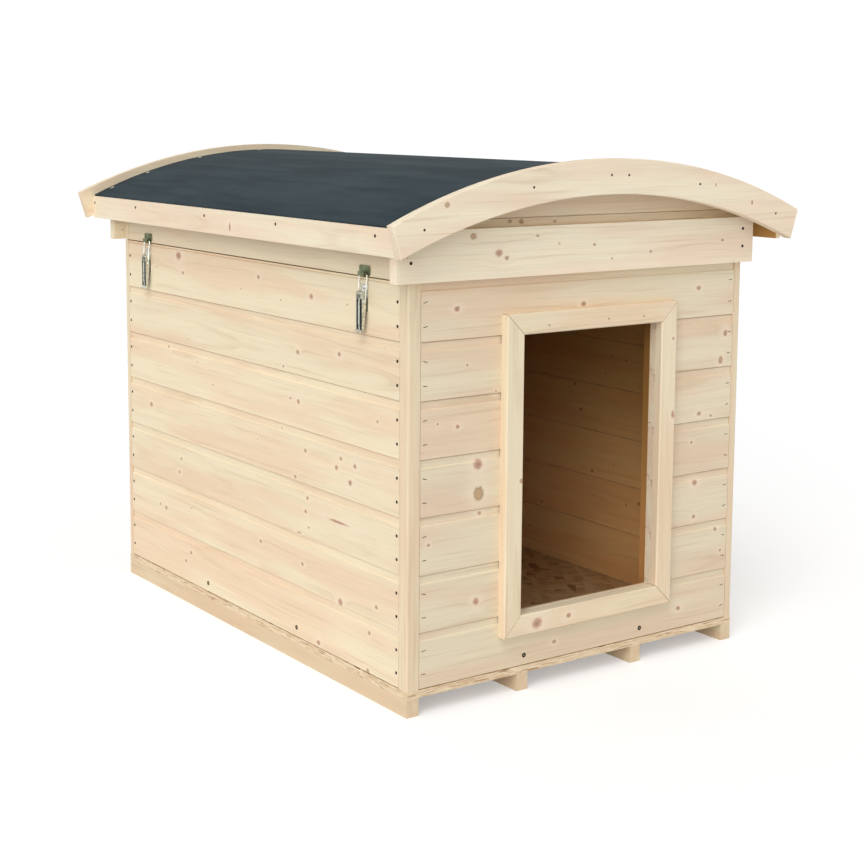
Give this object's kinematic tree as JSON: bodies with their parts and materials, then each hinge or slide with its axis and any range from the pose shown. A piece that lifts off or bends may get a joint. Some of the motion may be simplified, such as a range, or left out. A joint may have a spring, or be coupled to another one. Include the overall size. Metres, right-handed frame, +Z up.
{
  "type": "dog house",
  "caption": "Timber dog house with shiplap walls, a framed doorway, timber skids and a barrel roof in felt, hinged at one side and held by toggle latches.",
  "frame": {"origin": "on the ground, under the middle of the house", "axes": "+Z up; -Y towards the doorway; +X towards the hinged side, -X towards the latches"},
  "size_m": [0.836, 1.104, 0.8535],
  "materials": {
    "spruce_boards": "planed, untreated",
    "spruce_battens": "planed, untreated",
    "plywood": "sanded sheet",
    "osb": "pressed flakes",
    "roofing_felt": "fine mineral grit",
    "zinc_steel": "zinc plated"
  },
  "bodies": {
    "house": {"back_wall_boards": "spruce_boards", "corner_post_back_left": "spruce_battens", "corner_post_back_right": "spruce_battens", "corner_post_front_left": "spruce_battens", "corner_post_front_right": "spruce_battens", "door_jamb_left": "spruce_battens", "door_jamb_right": "spruce_battens", "door_trim_bottom": "spruce_battens", "door_trim_left": "spruce_battens", "door_trim_right": "spruce_battens", "door_trim_top": "spruce_battens", "floor_panel": "osb", "front_board_1": "spruce_boards", "front_board_7": "spruce_boards", "front_boards_left_of_door": "spruce_boards", "front_boards_right_of_door": "spruce_boards", "hinge_leaves_wall": "zinc_steel", "hinge_pins": "zinc_steel", "latch_bases": "zinc_steel", "latch_pins": "zinc_steel", "left_board_1": "spruce_boards", "left_board_2": "spruce_boards", "left_board_3": "spruce_boards", "left_board_4": "spruce_boards", "left_board_5": "spruce_boards", "left_board_6": "spruce_boards", "left_board_7": "spruce_boards", "right_board_1": "spruce_boards", "right_board_2": "spruce_boards", "right_board_3": "spruce_boards", "right_board_4": "spruce_boards", "right_board_5": "spruce_boards", "right_board_6": "spruce_boards", "right_board_7": "spruce_boards", "skid_inner_left": "spruce_battens", "skid_inner_right": "spruce_battens", "skid_left": "spruce_battens", "skid_right": "spruce_battens"},
    "roof": {"lid_rail_left": "spruce_battens", "lid_rail_right": "spruce_battens", "gable_boards_front": "spruce_boards", "gable_boards_back": "spruce_boards", "skirt_front": "spruce_battens", "skirt_back": "spruce_battens", "arch_board_front": "spruce_battens", "arch_board_back": "spruce_battens", "fascia_left": "spruce_battens", "fascia_right": "spruce_battens", "roof_deck": "plywood", "roof_felt": "roofing_felt", "roof_ribs": "spruce_battens", "lid_corner_blocks": "spruce_battens", "latch_keepers": "zinc_steel", "hinge_leaves_lid": "zinc_steel"},
    "front_latch_lever": {"latch_lever_front": "zinc_steel"},
    "back_latch_lever": {"latch_lever_back": "zinc_steel"},
    "front_latch_bail": {"latch_bail_front": "zinc_steel"},
    "back_latch_bail": {"latch_bail_back": "zinc_steel"}
  },
  "joints": [
    {"name": "roof_hinge", "type": "hinge", "parent": "house", "child": "roof", "pos_m": [0.3518, 0, 0.67175], "axis": [0, 1, 0], "range_deg": [0, 135]},
    {"name": "front_latch_lever_pivot", "type": "hinge", "parent": "house", "child": "front_latch_lever", "pos_m": [-0.355, -0.372, 0.646], "axis": [0, 1, 0], "range_deg": [0, 90]},
    {"name": "front_latch_bail_pivot", "type": "hinge", "parent": "front_latch_lever", "child": "front_latch_bail", "pos_m": [-0.3547, -0.372, 0.633], "axis": [0, 1, 0], "range_deg": [-72, 0]},
    {"name": "back_latch_lever_pivot", "type": "hinge", "parent": "house", "child": "back_latch_lever", "pos_m": [-0.355, 0.384, 0.646], "axis": [0, 1, 0], "range_deg": [0, 90]},
    {"name": "back_latch_bail_pivot", "type": "hinge", "parent": "back_latch_lever", "child": "back_latch_bail", "pos_m": [-0.3547, 0.384, 0.633], "axis": [0, 1, 0], "range_deg": [-72, 0]}
  ],
  "couplings": [
    {"joint": "front_latch_bail_pivot", "follows": "front_latch_lever_pivot", "ratio": -0.8},
    {"joint": "back_latch_bail_pivot", "follows": "back_latch_lever_pivot", "ratio": -0.8}
  ]
}
